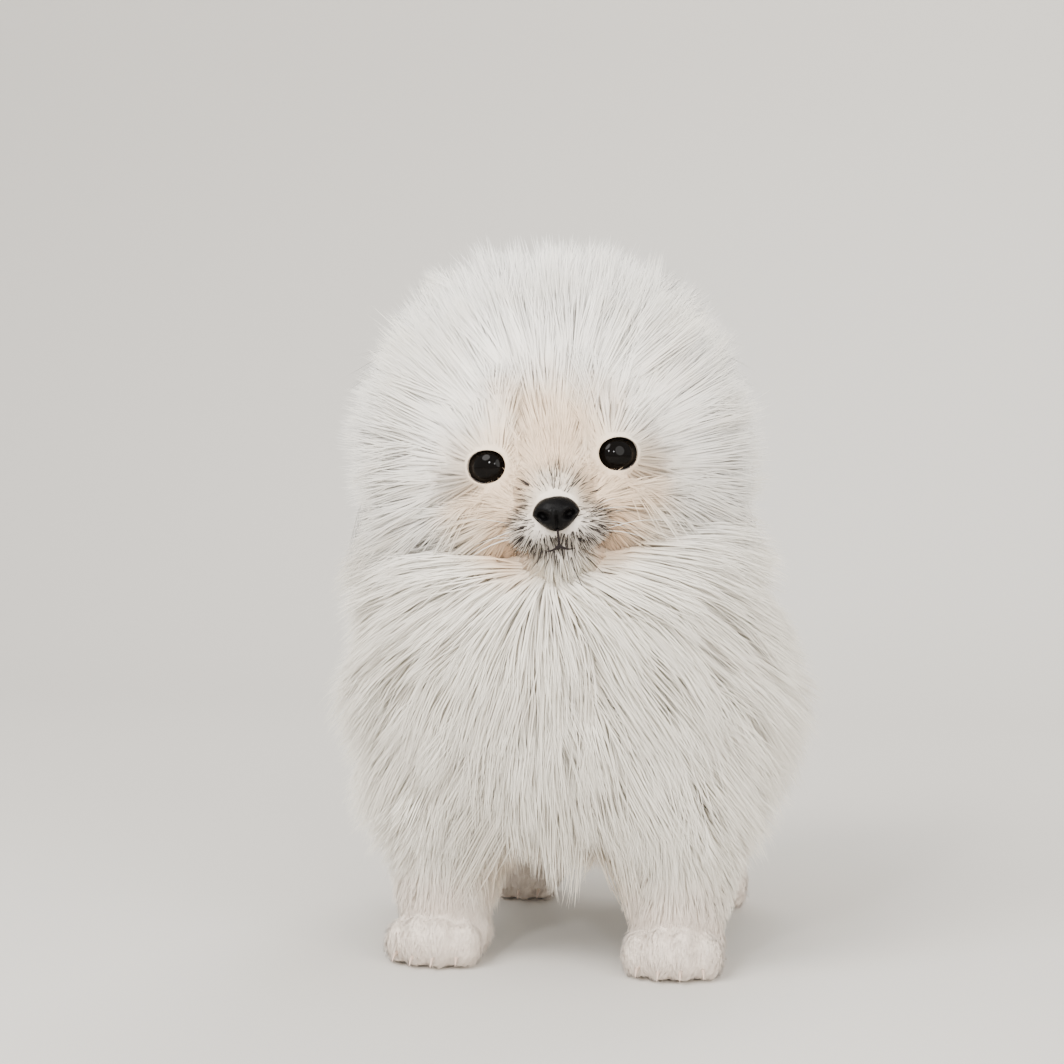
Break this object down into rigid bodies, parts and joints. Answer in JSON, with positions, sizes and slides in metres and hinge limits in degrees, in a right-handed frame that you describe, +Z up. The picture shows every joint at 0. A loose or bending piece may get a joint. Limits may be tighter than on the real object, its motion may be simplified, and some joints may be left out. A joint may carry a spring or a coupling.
{
  "type": "pomeranian puppy",
  "caption": "Life-size pomeranian puppy standing square on its paws, head turned a little, with a long fluffy white and cream coat.",
  "frame": {"origin": "on the floor, under the middle of the bounding box", "axes": "+Z up, -Y towards the face, +X towards the dog's left side"},
  "size_m": [0.148, 0.2038, 0.228],
  "materials": {
    "coat": "soft fur",
    "paw": "short fur",
    "nose_leather": "moist",
    "eye": "wet gloss"
  },
  "bodies": {
    "root": {"head": "coat", "lower_jaw": "coat", "nose": "nose_leather", "eye_left": "eye", "eye_right": "eye", "ear_left": "coat", "ear_right": "coat", "neck": "coat", "torso": "coat", "tail": "coat", "front_leg_left": "coat", "front_leg_right": "coat", "hind_leg_left": "coat", "hind_leg_right": "coat", "front_paw_left": "paw", "front_paw_right": "paw", "hind_paw_left": "paw", "hind_paw_right": "paw"}
  },
  "joints": []
}
